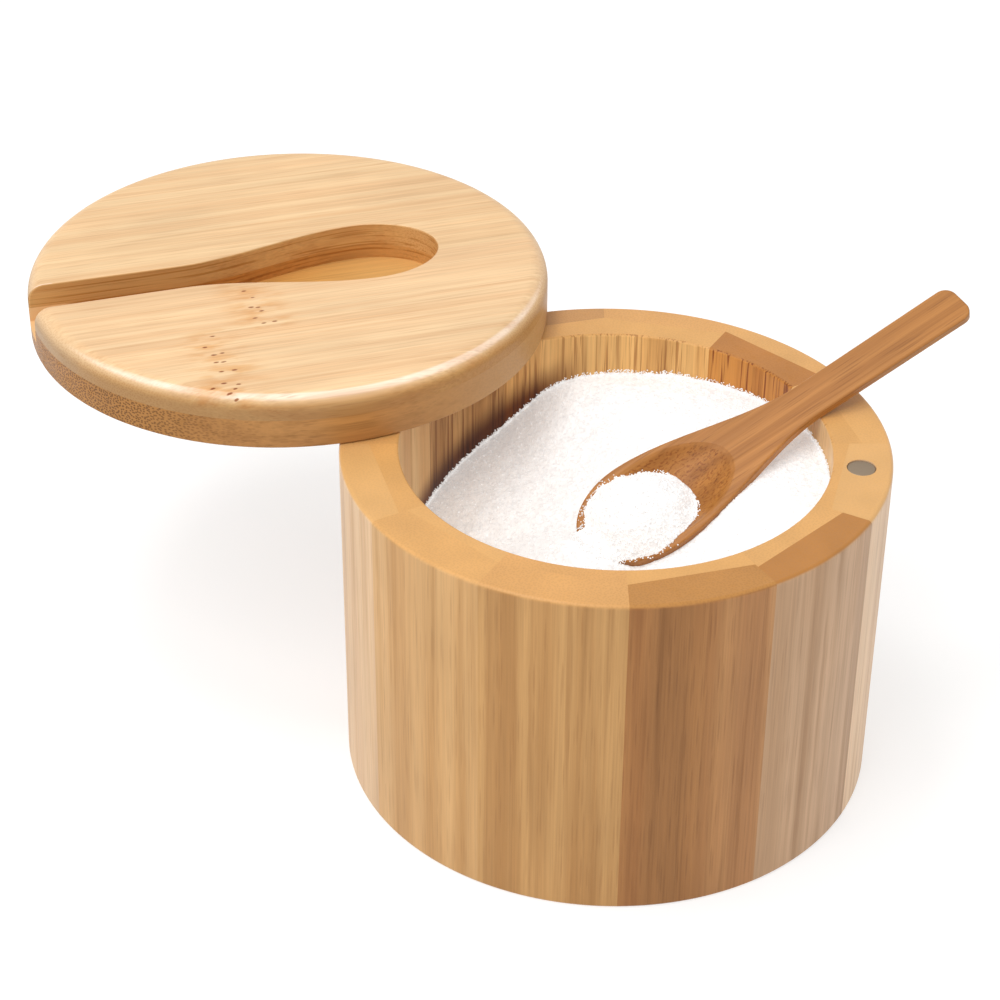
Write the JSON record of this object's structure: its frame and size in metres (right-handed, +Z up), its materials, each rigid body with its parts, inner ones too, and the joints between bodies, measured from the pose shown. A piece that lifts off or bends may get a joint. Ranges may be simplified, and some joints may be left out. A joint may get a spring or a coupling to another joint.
{
  "type": "salt box",
  "caption": "Round coopered bamboo salt box with a swivelling magnetic lid that has a spoon-shaped slot, and a small spoon lying in the salt.",
  "frame": {"origin": "centre of the body's foot, on the surface that the box stands on", "axes": "+Z up; +X from the lid's pin to the magnet in the rim; +Y to the side that the lid swings over as it opens"},
  "size_m": [0.1883, 0.1425, 0.0856],
  "materials": {
    "bamboo_pale": "pale bamboo, satin",
    "bamboo_golden": "golden bamboo, satin",
    "bamboo_amber": "amber bamboo, satin",
    "bamboo_brown": "brown bamboo, satin",
    "bamboo_lid": "pale yellow bamboo, satin",
    "bamboo_spoon": "carbonised bamboo, matte",
    "magnet": "plated magnet, satin",
    "pin_steel": "ground steel",
    "salt": "fine white grains"
  },
  "bodies": {
    "body": {"stave_01_inner_ply": "bamboo_golden", "stave_01_outer_ply": "bamboo_brown", "stave_02_inner_ply": "bamboo_golden", "stave_02_outer_ply": "bamboo_brown", "stave_03_inner_ply": "bamboo_pale", "stave_03_outer_ply": "bamboo_pale", "stave_04_inner_ply": "bamboo_pale", "stave_04_outer_ply": "bamboo_pale", "stave_05_inner_ply": "bamboo_brown", "stave_05_outer_ply": "bamboo_golden", "stave_06_inner_ply": "bamboo_golden", "stave_06_outer_ply": "bamboo_amber", "stave_07_inner_ply": "bamboo_golden", "stave_07_outer_ply": "bamboo_amber", "stave_08_inner_ply": "bamboo_pale", "stave_08_outer_ply": "bamboo_golden", "stave_09_inner_ply": "bamboo_golden", "stave_09_outer_ply": "bamboo_golden", "stave_10_inner_ply": "bamboo_golden", "stave_10_outer_ply": "bamboo_pale", "stave_11_inner_ply": "bamboo_pale", "stave_11_outer_ply": "bamboo_golden", "stave_12_inner_ply": "bamboo_amber", "stave_12_outer_ply": "bamboo_golden", "base_disc": "bamboo_golden", "body_magnet": "magnet", "salt_fill": "salt"},
    "lid": {"lid_base_ply": "bamboo_brown", "lid_strip_1": "bamboo_lid", "lid_strip_2": "bamboo_lid", "lid_strip_3": "bamboo_lid", "lid_strip_4": "bamboo_lid", "lid_strip_5": "bamboo_lid", "lid_strip_6": "bamboo_lid", "lid_pin": "pin_steel", "lid_magnet": "magnet"},
    "spoon_body": {"spoon": "bamboo_spoon", "spoon_salt": "salt"}
  },
  "joints": [
    {"name": "lid_swivel", "type": "hinge", "parent": "body", "child": "lid", "pos_m": [-0.0461, 0, 0.0696], "axis": [0, 0, 1], "range_deg": [-124.3, 0]},
    {"name": "spoon_lift", "type": "slide", "parent": "body", "child": "spoon_body", "axis": [0, 0, 1], "range_m": [0, 0.064]}
  ],
  "couplings": [
    {"joint": "spoon_lift", "follows": "lid_swivel", "m_per_rad": -0.0295}
  ]
}
